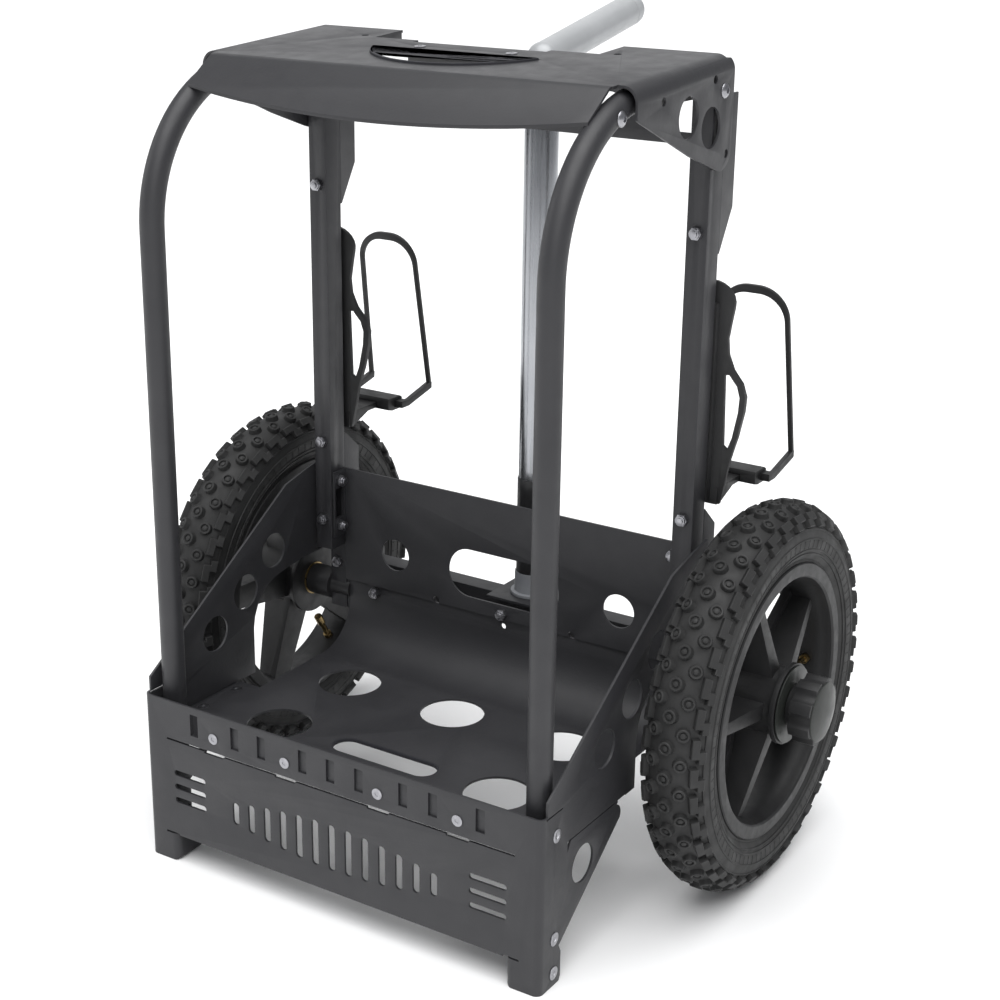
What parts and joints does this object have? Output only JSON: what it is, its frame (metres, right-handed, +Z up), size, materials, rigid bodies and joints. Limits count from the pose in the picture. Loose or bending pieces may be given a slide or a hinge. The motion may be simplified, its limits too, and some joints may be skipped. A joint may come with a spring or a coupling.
{
  "type": "game cart",
  "caption": "Two-wheeled game cart with a bench seat on bent tubes, a perforated tray in a folded base, a telescoping pull handle and a bottle cage on each rear post",
  "frame": {"origin": "on the ground under the middle of the cart's box, on the plane between the wheels", "axes": "+X to the cart's left side (the right wheel of the front view), +Y to the rear where the handle is, +Z up"},
  "size_m": [0.5964, 0.4454, 0.6823],
  "materials": {
    "powder_coat": "satin charcoal powder coat",
    "rubber": "matte moulded rubber",
    "black_steel": "smooth black",
    "chrome": "bright plated",
    "grey_plastic": "fine moulded grain",
    "satin_grey": "satin painted tube",
    "black_plastic": "glass-filled nylon, matte",
    "tyre_rubber": "moulded tyre rubber",
    "brass": "turned",
    "zinc": "zinc plated",
    "cap_grey": "smooth grey, slightly glossy"
  },
  "bodies": {
    "cart": {"base_shell": "powder_coat", "tray": "powder_coat", "tray_slot_trim": "rubber", "back_panel": "powder_coat", "foot_left": "rubber", "foot_right": "rubber", "front_tube_left": "powder_coat", "front_tube_right": "powder_coat", "post_left": "powder_coat", "post_right": "powder_coat", "seat_bracket_left": "powder_coat", "seat_bracket_right": "powder_coat", "axle_bracket_left": "powder_coat", "axle_bracket_right": "powder_coat", "axle_beam": "powder_coat", "axle_left": "black_steel", "axle_right": "black_steel", "seat_top": "powder_coat", "hand_hole_trim": "rubber", "hand_hole_bar": "black_steel", "rear_crossbar": "powder_coat", "pole_plate": "powder_coat", "pole_tube": "chrome", "pole_sleeve": "black_steel", "pole_foot_collar": "grey_plastic", "pole_top_bush": "grey_plastic", "pole_top_bracket": "powder_coat", "cage_left": "black_plastic", "cage_right": "black_plastic", "front_screws": "zinc", "side_screws": "zinc", "floor_screws": "zinc", "frame_nuts": "zinc", "seat_bolts": "zinc", "bar_screws": "zinc"},
    "wheel_left": {"rim_left": "black_plastic", "tyre_left": "tyre_rubber", "inner_tube_left": "tyre_rubber", "valve_left": "brass", "bushes_left": "brass", "hub_washer_left": "cap_grey"},
    "wheel_right": {"rim_right": "black_plastic", "tyre_right": "tyre_rubber", "inner_tube_right": "tyre_rubber", "valve_right": "brass", "bushes_right": "brass", "hub_washer_right": "cap_grey"},
    "knob_left": {"knob_left": "black_plastic", "knob_cap_left": "cap_grey"},
    "knob_right": {"knob_right": "black_plastic", "knob_cap_right": "cap_grey"},
    "handle": {"handle_inner_tube": "chrome", "handle_guide": "black_plastic", "handle_grip": "satin_grey", "handle_grip_cap": "satin_grey"},
    "cage_slider_left": {"cage_block_left": "black_plastic", "cage_hoop_left": "black_plastic"},
    "cage_slider_right": {"cage_block_right": "black_plastic", "cage_hoop_right": "black_plastic"}
  },
  "joints": [
    {"name": "wheel_left_spin", "type": "hinge", "parent": "cart", "child": "wheel_left", "pos_m": [-0.2365, 0.02886, 0.16], "axis": [-1, 0, 0], "continuous": true},
    {"name": "wheel_right_spin", "type": "hinge", "parent": "cart", "child": "wheel_right", "pos_m": [0.2365, 0.02886, 0.16], "axis": [1, 0, 0], "continuous": true},
    {"name": "knob_left_turn", "type": "hinge", "parent": "cart", "child": "knob_left", "pos_m": [-0.276, 0.02886, 0.16], "axis": [-1, 0, 0], "continuous": true},
    {"name": "knob_right_turn", "type": "hinge", "parent": "cart", "child": "knob_right", "pos_m": [0.276, 0.02886, 0.16], "axis": [1, 0, 0], "continuous": true},
    {"name": "handle_slide", "type": "slide", "parent": "cart", "child": "handle", "axis": [0, 0, 1], "range_m": [0, 0.36]},
    {"name": "cage_slide_left", "type": "slide", "parent": "cart", "child": "cage_slider_left", "axis": [0, -1, 0], "range_m": [0, 0.008]},
    {"name": "cage_slide_right", "type": "slide", "parent": "cart", "child": "cage_slider_right", "axis": [0, -1, 0], "range_m": [0, 0.008]}
  ]
}
